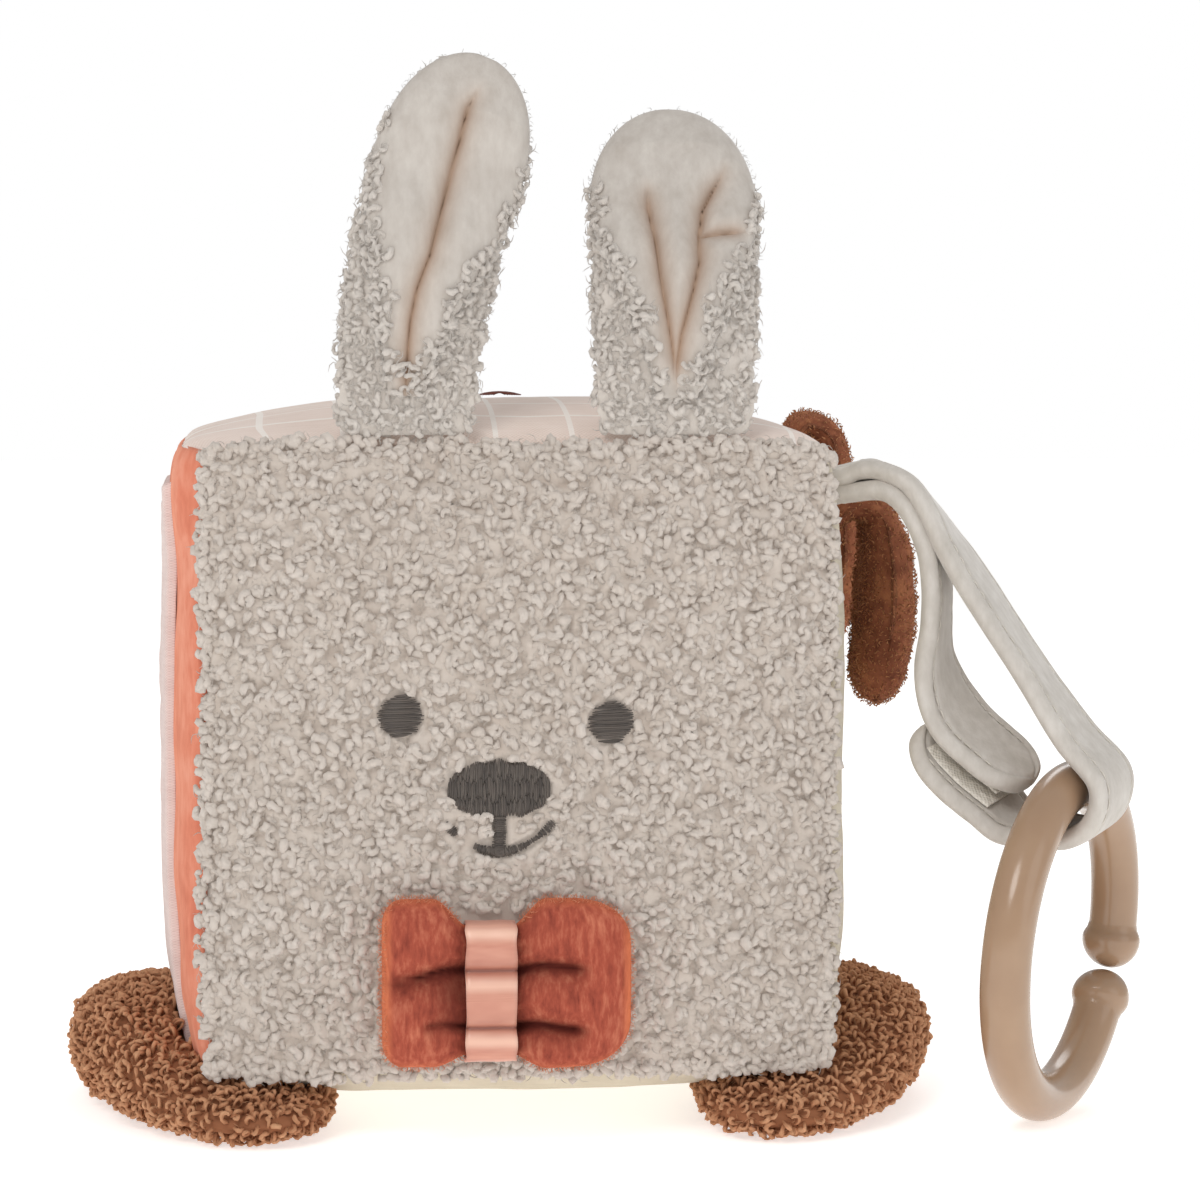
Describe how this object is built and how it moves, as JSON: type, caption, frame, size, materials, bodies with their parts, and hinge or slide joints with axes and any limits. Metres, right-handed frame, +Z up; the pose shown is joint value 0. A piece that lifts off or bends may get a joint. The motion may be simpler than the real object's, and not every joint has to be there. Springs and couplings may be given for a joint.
{
  "type": "soft fabric block",
  "caption": "Soft plush cube with an embroidered animal face, upright ears, flat feet, floppy side ears, a bow, and a padded strap that carries a plastic link ring; rattle and film inside.",
  "frame": {"origin": "centre of the bounding box's footprint, at the soles of the feet", "axes": "+X to the object's strap side (the viewer's right), +Y to its back, the face toward -Y, +Z up"},
  "size_m": [0.2062, 0.1428, 0.1984],
  "materials": {
    "boucle": "curly looped pile",
    "ivory_velvet": "short velvet pile",
    "coral_velour": "short velour pile",
    "pale_pink_fabric": "smooth padded cloth",
    "check_cotton": "fine ribbed cotton with pale lines",
    "ecru_cotton": "plain woven cotton",
    "terracotta_velvet": "short velvet pile",
    "satin_ribbon": "glossy satin weave",
    "thread": "satin stitch",
    "teddy": "curly teddy pile",
    "towelling": "ribbed towelling",
    "closure": "hook and loop tape",
    "link_plastic": "smooth, glossy",
    "foam": "open foam",
    "rattle_plastic": "smooth",
    "crackle_film": "thin film"
  },
  "bodies": {
    "block": {"front_panel": "boucle", "back_panel": "ecru_cotton", "left_panel": "coral_velour", "right_panel": "ecru_cotton", "top_panel": "check_cotton", "bottom_panel": "ecru_cotton", "left_patch": "pale_pink_fabric", "crinkle_film": "crackle_film", "foam_core": "foam", "foam_plug": "foam", "rattle_cup": "rattle_plastic", "rattle_lid": "rattle_plastic", "rattle_bead_1": "rattle_plastic", "rattle_bead_2": "rattle_plastic", "rattle_bead_3": "rattle_plastic", "eye_left": "thread", "eye_right": "thread", "nose": "thread", "mouth": "thread", "top_spot": "towelling", "bow_cloth": "terracotta_velvet", "bow_ribbon": "satin_ribbon", "foot_left": "teddy", "foot_right": "teddy"},
    "ear_left": {"ear_left_back": "boucle", "ear_left_lining": "ivory_velvet"},
    "ear_right": {"ear_right_back": "boucle", "ear_right_lining": "ivory_velvet"},
    "side_ear_front": {"side_ear_front": "towelling"},
    "side_ear_rear": {"side_ear_rear": "towelling"},
    "strap": {"strap_long": "ivory_velvet", "strap_short": "ivory_velvet", "strap_hook_patch": "closure", "strap_loop_patch": "closure"},
    "ring": {"link_ring": "link_plastic"}
  },
  "joints": [
    {"name": "ear_left_bend", "type": "hinge", "parent": "block", "child": "ear_left", "pos_m": [-0.04105, -0.04998, 0.1312], "axis": [1, 0, 0], "range_deg": [-45, 60], "stiffness_Nm_per_rad": 0.03},
    {"name": "ear_right_bend", "type": "hinge", "parent": "block", "child": "ear_right", "pos_m": [0.00855, -0.04998, 0.1312], "axis": [1, 0, 0], "range_deg": [-30, 60], "stiffness_Nm_per_rad": 0.03},
    {"name": "side_ear_front_lift", "type": "hinge", "parent": "block", "child": "side_ear_front", "pos_m": [0.0429, -0.00008, 0.1135], "axis": [0, -1, 0], "range_deg": [0, 60]},
    {"name": "side_ear_rear_lift", "type": "hinge", "parent": "block", "child": "side_ear_rear", "pos_m": [0.03995, 0.04542, 0.1255], "axis": [0, -1, 0], "range_deg": [0, 55]},
    {"name": "strap_lift", "type": "hinge", "parent": "block", "child": "strap", "pos_m": [0.04447, -0.02558, 0.1187], "axis": [0, -1, 0], "range_deg": [0, 65]},
    {"name": "ring_swing", "type": "hinge", "parent": "strap", "child": "ring", "pos_m": [0.08279, -0.04596, 0.06335], "axis": [0.5277, 0.8407, 0.1214], "range_deg": [-80, 18]}
  ]
}
